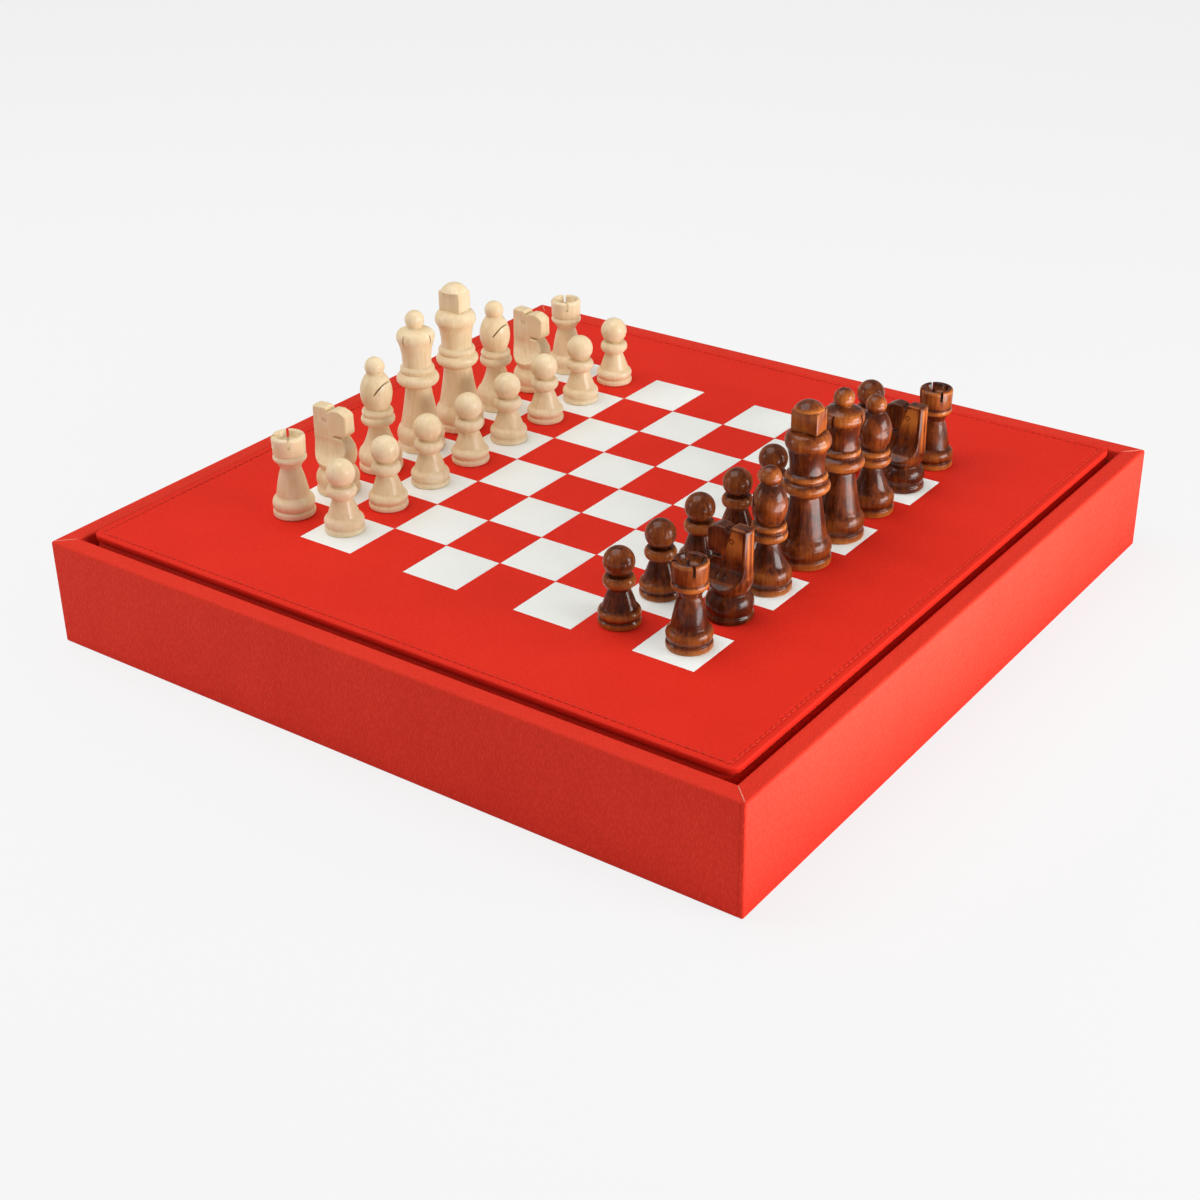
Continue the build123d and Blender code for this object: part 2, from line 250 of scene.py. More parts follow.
def mesh_of(name, points, faces, edges=()):
    """New mesh from points in metres and faces or edges of point numbers."""
    mesh = bpy.data.meshes.new(name)
    mesh.from_pydata([tuple(p) for p in points], edges, faces)
    return mesh


def mesh_from(made, name):
    """New mesh from a finished bmesh, which is let go."""
    mesh = bpy.data.meshes.new(name)
    made.to_mesh(mesh)
    made.free()
    return mesh


def mesh_with_modifiers(carrier):
    """Mesh of an object as its modifiers leave it; the object goes."""
    bpy.context.view_layer.update()
    ready = carrier.evaluated_get(bpy.context.evaluated_depsgraph_get())
    mesh = bpy.data.meshes.new_from_object(ready)
    bpy.data.objects.remove(carrier)
    return mesh


def woven_faces(rows, columns, rows_close, columns_close):
    """Faces between neighbouring rows of points, which may close to rings."""
    faces = []
    for i in range(rows if rows_close else rows - 1):
        j = (i + 1) % rows
        for k in range(columns if columns_close else columns - 1):
            n = (k + 1) % columns
            faces.append((i * columns + k, i * columns + n, j * columns + n, j * columns + k))
    return faces


def arc(start, middle, end, steps=8):
    """Points of the arc through three points in a plane, without the first one."""
    (ax, ay), (bx, by), (cx, cy) = start, middle, end
    a_square, b_square, c_square = ax**2 + ay**2, bx**2 + by**2, cx**2 + cy**2
    area = 2 * (ax * (by - cy) + bx * (cy - ay) + cx * (ay - by))
    centre_x = (a_square * (by - cy) + b_square * (cy - ay) + c_square * (ay - by)) / area
    centre_y = (a_square * (cx - bx) + b_square * (ax - cx) + c_square * (bx - ax)) / area
    radius = math.hypot(ax - centre_x, ay - centre_y)
    first = math.atan2(ay - centre_y, ax - centre_x)
    halfway = math.atan2(by - centre_y, bx - centre_x)
    last = math.atan2(cy - centre_y, cx - centre_x)
    span = (last - first) % math.tau
    if (halfway - first) % math.tau > span:
        span -= math.tau
    angles = [first + span * (k + 1) / steps for k in range(steps)]
    return [(centre_x + radius * math.cos(a), centre_y + radius * math.sin(a)) for a in angles]


# %% [markdown]
# The box is covered in pebbled cow leather, split thin, dyed through and pressed with a
# grain plate. Up close it is rounded pebbles with fine valleys between them, about one
# millimetre across. The valleys are painted darker than the pebble tops, as painted shade.
# A Voronoi pattern gives the pebbles, noise bends it so that no row shows, and the distance
# to each pebble's edge drives colour, bump and gloss together, so the painted shade follows
# the valleys. On the upright walls the hide was pulled along the wall as it was glued, so
# its pebbles are drawn taller than they are wide.

# %% Red leather
def leather_material(name, codes, grain_mm, stretch, depth, roughness, mottle):
    """Pebble grained leather with painted shade in its valleys; stretch draws the grain along X, Y and Z."""
    material, tree = fresh_material(name)
    place = node(tree, "ShaderNodeTexCoord").outputs["Object"]
    scaled = node(tree, "ShaderNodeMapping", [("Vector", place), ("Scale", stretch)])

    grain = grain_mm * MM
    bend = noise(tree, scaled, grain / 0.45, 2.0, output="Color")
    offset_links = [(0, bend), (1, (grain * 0.9,) * 3)]
    offset = node(tree, "ShaderNodeVectorMath", offset_links, operation="MULTIPLY")
    bent = node(tree, "ShaderNodeVectorMath", [(0, scaled), (1, offset)], operation="ADD")
    pebble_links = [("Vector", bent), ("Scale", 1 / grain)]
    pebbles = node(tree, "ShaderNodeTexVoronoi", pebble_links, feature="DISTANCE_TO_EDGE")
    edge = pebbles.outputs["Distance"]
    valley = mapped(tree, edge, ("From Max", 0.28), interpolation_type="SMOOTHSTEP")

    fine = noise(tree, place, 0.25 * MM, 3.0)
    patches = noise(tree, place, 38 * MM, 4.0)
    tone = mapped(tree, patches, ("From Min", 0.3), ("From Max", 0.7))
    # Painted shade: the pebble valleys are drawn darker than the pebble tops.
    valley_painted_shade = mapped(tree, valley, ("To Min", 0.34), ("To Max", 0.0))
    patch_dye = worked_out(tree, "MULTIPLY", tone, mottle)
    shade = worked_out(tree, "ADD", valley_painted_shade, patch_dye, use_clamp=True)
    light, dark = [linear(code) for code in codes]
    dye = node(tree, "ShaderNodeMixRGB", [("Fac", shade), ("Color1", light), ("Color2", dark)])

    height = worked_out(tree, "MULTIPLY_ADD", fine, 0.12, valley)
    gloss = mapped(tree, valley, ("To Min", roughness + 0.16), ("To Max", roughness))
    shine = [("IOR", 1.45), ("Specular IOR Level", 0.08)]
    surface_from(tree, dye, gloss, height, depth * MM, *shine)
    return material


def simple_material(name, code, roughness, grain_mm=0.6, depth=0.03):
    """Plain matt material with a fine procedural grain."""
    material, tree = fresh_material(name)
    place = node(tree, "ShaderNodeTexCoord").outputs["Object"]
    grain = noise(tree, place, grain_mm * MM, 3.0)
    shade = mapped(tree, grain, ("From Min", 0.35), ("From Max", 0.65))
    dark = [c * 0.72 for c in linear(code)[:3]] + [1.0]
    tone = node(tree, "ShaderNodeMixRGB", [("Fac", shade), ("Color1", dark), ("Color2", linear(code))])
    surface_from(tree, tone, roughness, grain, depth * MM, ("Specular IOR Level", 0.15))
    return material


# Lid: finer grain, pressed flatter by the seam. Walls: coarser grain, drawn upright.
lid_codes, wall_codes = ("#E63020", "#CF2417"), ("#E83B29", "#C8281C")
even, upright = (1, 1, 1), (1, 1, 0.32)
lid_red = leather_material("pebbled_red_leather_lid", lid_codes, 1.0, even, 0.03, 0.5, 0.2)
wall_red = leather_material("pebbled_red_leather_walls", wall_codes, 1.15, upright, 0.085, 0.52, 0.2)
print("leathers", lid_red.name, wall_red.name)

# %% [markdown]
# Each wall is wrapped in one strip of leather: up the outer face, over the rim and down
# inside. Every strip passes round the upright corner on its right-hand end, where its edge
# is pressed down in a narrow welt. A strip is a section carried along the wall, so it could
# be a curve with a bevel, but the mitre and the rounded upright corner ask for their own
# rows of points. Writing the rows in a loop gives both, and serves all four walls.

# %% Wall covers
corner_round = 1.3 * MM
rim_round = 1.4 * MM
foot_round = 1.2 * MM
halfway_share = 0.29  # middle of a quarter round: its distance to each side, in radii


def cover_section():
    """Closed section of a wall cover: distance from the middle of the box, and height."""
    outer, inner = box_half, well_half
    low, inside_low = 0.1 * MM, 4.9 * MM
    foot_middle, rim_middle = foot_round * halfway_share, rim_round * halfway_share
    rises = 12
    rise = (rim - rim_round - low - foot_round) / rises
    crown, crown_inset = rim - 0.12 * MM, 3.6 * MM
    shoulder = crown + 0.05 * MM

    section = [(outer - foot_round, low)]
    section += arc(section[-1], (outer - foot_middle, low + foot_middle), (outer, low + foot_round), 4)
    section += [(outer, low + foot_round + rise * (k + 1)) for k in range(rises)]
    section += arc(section[-1], (outer - rim_middle, rim - rim_middle), (outer - rim_round, rim), 5)
    section += [(outer - crown_inset, shoulder), ((outer + inner) / 2, crown)]
    section += [(inner + crown_inset, shoulder), (inner + rim_round, rim)]
    section += arc(section[-1], (inner + rim_middle, rim - rim_middle), (inner, rim - rim_round), 5)
    section += [(inner, inside_low), (inner + leather, inside_low), (inner + leather, rim - rim_round)]
    section += [(inner + 2 * leather, rim - leather), (outer - 2 * leather, rim - leather)]
    section += [(outer - leather, rim - rim_round), (outer - leather, low)]
    return section


def cover_row(distance, height):
    """Points of one row along the front wall, from its left mitre to its right one."""
    straight, curved = 16, 6
    welt_inset, welt_depth = 1.0 * MM, 0.3 * MM
    depth = box_half - distance
    on_corner = depth < corner_round
    run = box_half - corner_round
    start = run if on_corner else distance - corner_round
    middle_part = [(start * (2 * k / straight - 1), distance) for k in range(straight + 1)]
    end_part = []
    for k in range(1, curved + 1):
        along = k / curved
        if on_corner:
            angle = along * math.pi / 4
            radius = corner_round - depth
            end_part.append((run + radius * math.sin(angle), run + radius * math.cos(angle)))
        else:
            end_part.append((start + corner_round * along, distance))
    welt = []
    for inset, share in ((2.2, 0.0), (1.3, 0.25), (1.0, 1.0), (0.7, 0.25)):
        dip = welt_depth * share if on_corner else 0.0
        welt.append((start - inset * welt_inset, distance - dip))
    row = [(-x, y) for x, y in reversed(end_part)] + middle_part[:-1] + welt + middle_part[-1:] + end_part
    return [(x, -y, height) for x, y in row]


def wall_cover(side, quarter):
    """One wall's leather, built for the front wall and turned by quarters."""
    rows = [cover_row(distance, height) for distance, height in cover_section()]
    columns = len(rows[0])
    points = [p for row in rows for p in row]
    faces = woven_faces(len(rows), columns, True, False)
    faces.append(tuple(i * columns for i in range(len(rows))))
    faces.append(tuple(i * columns + columns - 1 for i in reversed(range(len(rows)))))
    name = f"leather_wrap_{side}"
    mesh = mesh_of(name, points, faces)
    mesh.transform(Matrix.Rotation(quarter * math.pi / 2, 4, "Z"))
    finish_piece(name, mesh, wall_red, "box", "red_leather", f"wall_cover_{side}", angle=40)
    return len(points)


for quarter, side in enumerate(("front", "right", "back", "left")):
    print("wall cover", side, wall_cover(side, quarter), "points")

# %% [markdown]
# Where two strips meet on the rim, the cut edges of the leather show as a thin pale line
# from the inner corner to the outer one. A fine strand half sunk in the seam stands for
# these edges. A curve with a bevel would do, but rings of points round a path are as short.

# %% Mitre seams
def tube(name, path, radius, sides=8):
    """Closed tube round a path of points."""
    points = []
    for k, point in enumerate(path):
        ahead = (path[min(k + 1, len(path) - 1)] - path[max(k - 1, 0)]).normalized()
        helper = Vector((0, 0, 1)) if abs(ahead.z) < 0.9 else Vector((1, 1, 0))
        across = ahead.cross(helper).normalized()
        upward = across.cross(ahead)
        for s in range(sides):
            angle = math.tau * s / sides
            points.append(point + radius * (math.cos(angle) * across + math.sin(angle) * upward))
    faces = woven_faces(len(path), sides, False, True)
    faces.append(tuple(reversed(range(sides))))
    faces.append(tuple(range((len(path) - 1) * sides, len(path) * sides)))
    return mesh_of(name, points, faces)


# Bare cut edge of the leather, pared thin and paler than its dyed face.
seam_edge = simple_material("pared_leather_edge", "#EF9A85", 0.7, 0.5)
seam_radius, sunk = 0.24 * MM, 0.12 * MM
inner_side, outer_side = well_half + 0.2 * MM, box_half - 0.62 * MM
across_rim = [(inner_side, rim - rim_round - 1.0 * MM), (inner_side, rim - rim_round)]
across_rim += [(well_half + 0.6 * MM, rim - 0.45 * MM), (inner_side + rim_round, rim - sunk)]
across_rim += [(box_half - rim_round - 0.4 * MM, rim - sunk), (box_half - 1.15 * MM, rim - 0.35 * MM)]
across_rim += [(box_half - 0.75 * MM, rim - 0.9 * MM), (outer_side, rim - rim_round - 0.4 * MM)]
for corner in range(4):
    turn_by = Matrix.Rotation(corner * math.pi / 2, 3, "Z")
    path = [turn_by @ Vector((distance, -distance, height)) for distance, height in across_rim]
    seam = tube("seam", path, seam_radius)
    finish_piece(f"mitre_seam_{corner + 1}", seam, seam_edge, "box", "red_leather", angle=60)
print("mitre seams", corner + 1)

# %% [markdown]
# The lid is two layers with a dark groove between them: a thin stitched panel on top and a
# padded board below, both with rounded corners. Leather is glued round the edge of the
# padded board and turned in on both its faces. Panel and band are both sections carried
# round a rounded square, so one function gives the square at each inset and height.

# %% Sections carried round the lid
def rounded_loop(half, corner, height, per_side=16, per_corner=8):
    """Points of a rounded square at one height, anticlockwise from the front."""
    loop = []
    for turn_number in range(4):
        angle = turn_number * math.pi / 2
        out = Vector((math.sin(angle), -math.cos(angle), 0))
        along = Vector((math.cos(angle), math.sin(angle), 0))
        flat = half - corner
        for k in range(per_side):
            loop.append(out * half + along * flat * (2 * k / per_side - 1))
        centre = out * flat + along * flat
        for k in range(per_corner):
            bend = math.pi / 2 * k / per_corner
            loop.append(centre + corner * (out * math.cos(bend) + along * math.sin(bend)))
    return [Vector((p.x, p.y, height)) for p in loop]


def inset_loop(half, corner, inset, height):
    """Rounded square that runs an inset inside another one."""
    smallest_corner = 0.3 * MM
    return rounded_loop(half - inset, max(corner - inset, smallest_corner), height)


def carried_round(name, section, half, corner):
    """Carry a closed section of (inset, height) points round the rounded square."""
    loops = [inset_loop(half, corner, inset, height) for inset, height in section]
    points = [p for loop in loops for p in loop]
    return mesh_of(name, points, woven_faces(len(loops), len(loops[0]), True, True))


lid_corner = 6.0 * MM
band_low, band_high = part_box("lid_band")[0].z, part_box("lid_band")[1].z
band_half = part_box("lid_band")[1].x
turn_in = 14.0 * MM
swell, swell_middle = 3.0 * MM, 3.0 * MM * halfway_share
slack = 0.12 * MM
inside_low, inside_high = band_low + leather, band_high - leather
inside_middle = 0.6 * MM
low_side, high_side = (slack, band_low + swell), (slack, band_high - swell)
band_section = [(turn_in, band_low), (swell, band_low)]
band_section += arc((swell, band_low), (swell_middle, band_low + swell_middle), low_side)
band_section += [(0, (band_low + band_high) / 2), high_side]
band_section += arc(high_side, (swell_middle, band_high - swell_middle), (swell, band_high))
band_section += [(turn_in, band_high), (turn_in, inside_high), (swell, inside_high)]
inside_turn = (leather + inside_middle, inside_high - inside_middle)
band_section += arc((swell, inside_high), inside_turn, (leather, band_high - swell), 3)
inside_turn = (leather + inside_middle, inside_low + inside_middle)
band_section += arc((leather, band_low + swell), inside_turn, (swell, inside_low), 3)
band_section += [(turn_in, inside_low)]
band_mesh = carried_round("lid_band_leather", band_section, band_half, lid_corner)
finish_piece("lid_band_leather", band_mesh, lid_red, "lid", "red_leather", "lid_band", angle=50)
print("band", len(band_mesh.polygons), "faces")

# %% [markdown]
# The stitched panel is leather over a stiff board. Its upper edge is rolled, and the skin
# dips into a shallow channel along the seam. Each white square lies in a pocket cut square
# into the red. The outer part is a section carried round, from the flat skin over the edge
# to the underside. The middle is a grid of sixty-four fields, and every second one is inset
# by a hair and sunk. A fill joins the two, so that the panel is one closed skin.

# %% Stitched panel
seam_inset = 4.0 * MM
channel = 0.28 * MM
roll = 0.8 * MM
field_half = 4 * square
skin_level = board_top - 0.03 * MM
inlay_depth = 0.5 * MM
hairline = 0.12 * MM


def stitched_panel():
    """Closed mesh of the lid's top leather with its pockets."""
    lips = {1.1: 0.03 * MM, 0.45: channel * 0.8, 0: channel, -0.45: channel * 0.8, -1.1: 0.05 * MM}
    section = [(14 * MM, skin_level), (7.5 * MM, skin_level)]
    section += [(seam_inset + away * MM, skin_level - dip) for away, dip in lips.items()]
    section += [(2.0 * MM, skin_level), (roll, skin_level - 0.06 * MM)]
    section += arc(section[-1], (roll * 0.27, board_top - roll * 0.36), (0, board_top - roll * 1.2), 4)
    section += [(0, lid_under + 0.3 * MM), (0.3 * MM, lid_under), (1.2 * MM, lid_under)]
    made = bmesh.new()
    rings = []
    for inset, height in section:
        loop = inset_loop(lid_half, lid_corner, inset, height)
        rings.append([made.verts.new(point) for point in loop])
    for upper, lower in zip(rings, rings[1:]):
        count = len(upper)
        for k in range(count):
            n = (k + 1) % count
            made.faces.new((upper[k], lower[k], lower[n], upper[n]))
    made.faces.new(rings[-1])
    lines = [(k / 4 - 1) * field_half for k in range(9)]
    grid = [[made.verts.new((x, y, skin_level)) for x in lines] for y in lines]
    pockets = []
    for j in range(8):
        for i in range(8):
            near, far = grid[j], grid[j + 1]
            face = made.faces.new((near[i], near[i + 1], far[i + 1], far[i]))
            if (i + j) % 2:
                pockets.append(face)
    border = grid[0][:-1] + [row[-1] for row in grid[:-1]]
    border += grid[-1][:0:-1] + [row[0] for row in grid[:0:-1]]
    edges = []
    for ring in (rings[0], border):
        for a, b in zip(ring, ring[1:] + ring[:1]):
            edges.append(made.edges.get((a, b)) or made.edges.new((a, b)))
    bmesh.ops.triangle_fill(made, edges=edges, use_beauty=True)
    bmesh.ops.inset_individual(made, faces=pockets, thickness=hairline)
    floors = bmesh.ops.extrude_discrete_faces(made, faces=pockets)["faces"]
    for face in floors:
        bmesh.ops.translate(made, verts=face.verts, vec=(0, 0, -inlay_depth))
    return mesh_from(made, "stitched_panel")


panel_mesh = stitched_panel()
finish_piece("stitched_panel", panel_mesh, lid_red, "lid", "red_leather", "lid_leather", angle=50)
print("stitched panel", len(panel_mesh.polygons), "faces")

# %% [markdown]
# The seam round the panel is a lock stitch in red thread. Each stitch is a short, fat strand
# with rounded ends. Placing more than three hundred of them by hand would be a long list. In
# Geometry Nodes a curve along the seam is divided at the stitch pitch and gets one strand on
# each point, each turned by a small chance angle, and the pitch stays one number.

# %% Stitches
stitch_pitch = 4.05 * MM
stitch_length = 3.1 * MM
stitch_thickness = 0.75 * MM


def strand_mesh():
    """One stitch: a capsule with flattened sides, lying along X."""
    made = bmesh.new()
    bmesh.ops.create_uvsphere(made, u_segments=8, v_segments=6, radius=0.5)
    blunt, flat = 0.55, 0.75
    for vertex in made.verts:
        x, y, z = vertex.co
        along = math.copysign(abs(z) ** blunt * 0.5 ** (1 - blunt), z)
        vertex.co = (along * stitch_length, x * stitch_thickness, y * stitch_thickness * flat)
    return mesh_from(made, "strand")


def repeating_group(name, *numbers):
    """Geometry Nodes group that takes a geometry, an item, a material and named numbers."""
    group = bpy.data.node_groups.new(name, "GeometryNodeTree")
    inputs = [("Geometry", "Geometry"), ("Item", "Object"), ("Material", "Material")]
    for label, kind in inputs + [(number, "Float") for number in numbers]:
        group.interface.new_socket(label, in_out="INPUT", socket_type="NodeSocket" + kind)
    group.interface.new_socket("Geometry", in_out="OUTPUT", socket_type="NodeSocketGeometry")
    given = node(group, "NodeGroupInput").outputs
    item = node(group, "GeometryNodeObjectInfo", [("Object", given["Item"])])
    return group, given, item.outputs["Geometry"]


def repeated_mesh(name, start_mesh, group, placed, item_mesh, **values):
    """Plain mesh of the items that a node group has placed on a start mesh."""
    given = next(n for n in group.nodes if n.bl_idname == "NodeGroupInput").outputs
    real = node(group, "GeometryNodeRealizeInstances", [("Geometry", placed)])
    painting = [("Geometry", real), ("Material", given["Material"])]
    painted = node(group, "GeometryNodeSetMaterial", painting)
    node(group, "NodeGroupOutput", [("Geometry", painted)])

    carrier = bpy.data.objects.new("carrier", start_mesh)
    item = bpy.data.objects.new("item", item_mesh)
    scene_objects.link(carrier)
    scene_objects.link(item)
    modifier = carrier.modifiers.new("nodes", "NODES")
    modifier.node_group = group
    values["Item"] = item
    for socket in group.interface.items_tree:
        if socket.name in values:
            modifier[socket.identifier] = values[socket.name]
    carrier.update_tag()
    mesh = mesh_with_modifiers(carrier)
    mesh.name = name
    bpy.data.objects.remove(item)
    return mesh


# Waxed polyester thread, dyed to match the leather.
thread = simple_material("waxed_red_thread", "#E23A27", 0.5)
seam_height = skin_level - channel + 0.28 * MM
seam_loop = rounded_loop(lid_half - seam_inset, lid_corner - seam_inset, seam_height)
seam_edges = [(k, (k + 1) % len(seam_loop)) for k in range(len(seam_loop))]
seam_mesh = mesh_of("seam", seam_loop, [], seam_edges)

stitches, given, strand = repeating_group("stitches", "Pitch")
line = node(stitches, "GeometryNodeMeshToCurve", [("Mesh", given["Geometry"])])
division = [("Curve", line), ("Length", given["Pitch"])]
steps = node(stitches, "GeometryNodeResampleCurve", division, mode="LENGTH")
tangent = node(stitches, "GeometryNodeInputTangent")
facing = node(stitches, "FunctionNodeAlignRotationToVector", [("Vector", tangent)], axis="X")
swing = [("Min", (0, -0.03, -0.09)), ("Max", (0, 0.03, 0.01)), ("Seed", 11)]
sway = node(stitches, "FunctionNodeRandomValue", swing, data_type="FLOAT_VECTOR")
tilt = [("Rotation", facing), ("Rotate By", sway)]
tilted = node(stitches, "FunctionNodeRotateRotation", tilt, rotation_space="LOCAL")
sewing = [("Points", steps), ("Instance", strand), ("Rotation", tilted)]
placed = node(stitches, "GeometryNodeInstanceOnPoints", sewing)
values = {"Pitch": stitch_pitch, "Material": thread}
stitch_mesh = repeated_mesh("seam_stitches", seam_mesh, stitches, placed, strand_mesh(), **values)
finish_piece("seam_stitches", stitch_mesh, thread, "lid", "red_leather", angle=60)
faces_each = 48
print("stitches", len(stitch_mesh.polygons) // faces_each)

# %% [markdown]
# The white squares are pieces of white leather laid into the red, thirty-two in a
# chequer. A grid gives the sixty-four middles, and the parity of column plus row says which
# of them get a tile, as the rule of the board does. The tile's top edge is pared a little.

# %% White squares
tile_side = square - 2 * hairline - 0.1 * MM
tile_high = board_top - (skin_level - inlay_depth)


def tile_mesh():
    """One leather square, from the pocket's floor to the board's surface."""
    made = bmesh.new()
    bmesh.ops.create_cube(made, size=1.0)
    for vertex in made.verts:
        x, y, z = vertex.co
        vertex.co = (x * tile_side, y * tile_side, (z + 0.5) * tile_high)
    top_edges = [edge for edge in made.edges if all(v.co.z > tile_high / 2 for v in edge.verts)]
    bmesh.ops.bevel(made, geom=top_edges, offset=0.18 * MM, segments=2, affect="EDGES", profile=0.5)
    return mesh_from(made, "tile")


# White cow leather with a fine, flat grain.
white_leather = leather_material("white_leather", ("#F6F7F2", "#EEEFE9"), 0.9, even, 0.03, 0.5, 0.3)
chequer, given, tile = repeating_group("chequer", "Square", "Height")
span = worked_out(chequer, "MULTIPLY", given["Square"], 7.0)
grid_links = [("Size X", span), ("Size Y", span), ("Vertices X", 8), ("Vertices Y", 8)]
middles = node(chequer, "GeometryNodeMeshGrid", grid_links)
number = node(chequer, "GeometryNodeInputIndex")
row_number = worked_out(chequer, "FLOOR", worked_out(chequer, "DIVIDE", number, 8.0))
column_and_row = worked_out(chequer, "ADD", number, row_number)
parity = worked_out(chequer, "MODULO", column_and_row, 2.0)
lift = node(chequer, "ShaderNodeCombineXYZ", [("Z", given["Height"])])
raising = [("Geometry", middles.outputs["Mesh"]), ("Offset", lift)]
raised = node(chequer, "GeometryNodeSetPosition", raising)
laying = [("Points", raised), ("Selection", parity), ("Instance", tile)]
laid = node(chequer, "GeometryNodeInstanceOnPoints", laying)
values = {"Square": square, "Height": skin_level - inlay_depth, "Material": white_leather}
start = mesh_of("start", [(0, 0, 0)], [])
white_mesh = repeated_mesh("white_squares", start, chequer, laid, tile_mesh(), **values)
finish_piece("white_squares", white_mesh, white_leather, "lid", "white_leather", "lid_squares", angle=50)
print("white squares", len(white_mesh.polygons))

# %% [markdown]
# The men are turned from close-grained wood with the grain along the lathe's axis. The pale
# army is clear lacquered. The dark army is dipped in a red brown stain, and the lathe's
# last sanding thins the stain on every ridge, so the rings and edges shine orange. Each
# turned mesh carries a value called ridge, high where the outline stands out from its
# surroundings, and the material reads it.

# %% Woods
def ramp(tree, value, stops):
    """Colour ramp with stops of (place, hex code)."""
    made = node(tree, "ShaderNodeValToRGB", [("Fac", value)])
    elements = made.color_ramp.elements
    while len(elements) < len(stops):
        elements.new(0.5)
    for element, (place, code) in zip(elements, stops):
        element.position = place
        element.color = linear(code)
    return made


def wood_material(name, stops, grain_share, patch_share, ridge_share, roughness, coat):
    """Turned and lacquered wood with its grain along Z."""
    material, tree = fresh_material(name)
    place = node(tree, "ShaderNodeTexCoord").outputs["Object"]
    drawn_out = [("Vector", place), ("Scale", (1, 1, 0.06))]
    long_way = node(tree, "ShaderNodeMapping", drawn_out)
    grain = noise(tree, long_way, 1.5 * MM, 4.0, ("Roughness", 0.5), ("Distortion", 0.5))
    pores = noise(tree, long_way, 0.35 * MM, 2.0)
    patches = noise(tree, place, 9 * MM, 3.0)
    ridge = node(tree, "ShaderNodeAttribute", attribute_name="ridge").outputs["Fac"]

    total = None
    for source, share in ((grain, grain_share), (patches, patch_share), (pores, 0.25 * grain_share)):
        scaled = worked_out(tree, "MULTIPLY", worked_out(tree, "SUBTRACT", source, 0.5), share)
        total = worked_out(tree, "ADD", total, scaled) if total else scaled
    with_ridges = worked_out(tree, "MULTIPLY_ADD", ridge, ridge_share, total)
    middle_tone = 0.4
    level = worked_out(tree, "ADD", with_ridges, middle_tone, use_clamp=True)
    colour = ramp(tree, level, stops)
    lacquer = [("Specular IOR Level", 0.12), ("Coat Weight", coat), ("Coat Roughness", 0.1)]
    surface_from(tree, colour, roughness, pores, 0.02 * MM, *lacquer)
    return material


# Boxwood under clear satin lacquer.
pale_stops = [(0.0, "#DBB887"), (0.35, "#E7CDA2"), (0.6, "#F0DDBA"), (1.0, "#F8EBD2")]
pale_wood = wood_material("pale_boxwood", pale_stops, 0.5, 0.5, 0.2, 0.42, 0.3)
# The same wood, stained red brown and rubbed back on its ridges, under gloss lacquer.
dark_stops = [(0.0, "#210B04"), (0.35, "#451B09"), (0.6, "#773814"), (1.0, "#AC6228")]
stained_wood = wood_material("stained_wood", dark_stops, 0.6, 0.75, 0.75, 0.3, 0.3)
print("woods", pale_wood.name, stained_wood.name)

# %% [markdown]
# A turned man is one outline carried round an axis. The outlines are written in millimetres
# as radius and height, from the foot up, in the words of the trade: disc, groove, bulb, ledge,
# waist, ring and ball. Sanding rounds every corner of the wood a little, so the outline is
# resampled evenly and averaged with its neighbours before it is carried round. Points that
# add nothing to the shape are then left out, which keeps the mesh light.

# %% Turning
groove_cut = 0.9


def foot_line(foot, disc, bulb_top, ledge, waist, neck):
    """Outline of disc, groove, bulb, ledge and waist."""
    groove = (foot - groove_cut, disc + groove_cut)
    bulb_middle = (foot, groove[1] + 0.4 * (bulb_top[1] - groove[1]))
    chamfer = 0.5
    line = [(0, 0), (foot - chamfer, 0), (foot, chamfer), (foot, disc - 0.2), groove]
    return line + arc(groove, bulb_middle, bulb_top, 12) + [ledge] + arc(ledge, waist, neck, 14)


def ring_line(bottom, widest, top):
    """Outline of one rounded ring."""
    return [bottom] + arc(bottom, widest, top, 10)


def ball_line(start, ball, top):
    """Outline of a ball that sits on start and ends on the axis."""
    centre = top - ball
    drop = min(0.84, (centre - start[1] - 0.2) / ball)
    entry = (ball * math.sqrt(1 - drop**2), centre - ball * drop)
    return [entry] + arc(entry, (ball, centre), (0, top), 24)


def dome_line(start, top):
    """Outline of a shallow dome from start to the axis."""
    rise = top - start[1]
    radius = (start[0] ** 2 + rise**2) / (2 * rise)
    drop = radius - math.sqrt(radius**2 - start[0] ** 2 / 4)
    return [start] + arc(start, (start[0] / 2, top - drop), (0, top), 10)


def worn(outline, pitch=0.15, passes=4):
    """Even points along an outline, with the corners rounded as sanding does."""
    points = np.array(outline, float)
    along = np.r_[0, np.cumsum(np.hypot(*np.diff(points, axis=0).T))]
    even = np.linspace(0, along[-1], int(along[-1] / pitch))
    line = np.stack([np.interp(even, along, points[:, k]) for k in (0, 1)], axis=1)
    for _ in range(passes):
        line[1:-1] = (line[:-2] + 2 * line[1:-1] + line[2:]) / 4
    return line


def needed_points(line, slack=0.012):
    """Numbers of the points that keep a line's shape to within a slack."""
    kept, stack = {0, len(line) - 1}, [(0, len(line) - 1)]
    while stack:
        first, last = stack.pop()
        if last - first < 2:
            continue
        chord = line[last] - line[first]
        away = line[first + 1 : last] - line[first]
        length = max(np.hypot(*chord), 1e-9)
        off = np.abs(away[:, 0] * chord[1] - away[:, 1] * chord[0]) / length
        worst = int(off.argmax())
        if off[worst] > slack:
            split = first + 1 + worst
            kept.add(split)
            stack += [(first, split), (split, last)]
    return sorted(kept)


